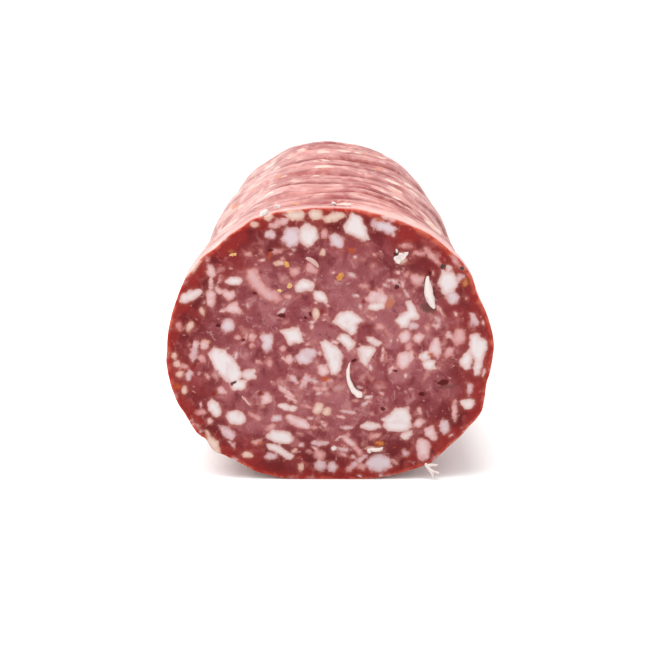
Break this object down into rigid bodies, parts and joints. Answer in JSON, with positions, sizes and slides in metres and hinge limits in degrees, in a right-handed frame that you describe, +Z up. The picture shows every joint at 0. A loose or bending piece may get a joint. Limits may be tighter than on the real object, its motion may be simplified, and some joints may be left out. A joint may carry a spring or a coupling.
{
  "type": "cured sausage",
  "caption": "Peeled dry-cured salami lying on its flattened side, cut square at one end and rounded and puckered at the other, with coarse white fat grains in dark red meat.",
  "frame": {"origin": "on the resting surface, under the middle of the body's bounding box", "axes": "+Y along the body, from the cut face towards the puckered end; +Z up; +X to the right when looking at the cut face"},
  "size_m": [0.0758, 0.28, 0.0601],
  "materials": {
    "cured_meat": null,
    "back_fat": null,
    "spice": "dry, broken seeds and pepper; a plant material, and wood is the nearest"
  },
  "bodies": {
    "root": {"sausage": "cured_meat"}
  },
  "joints": []
}
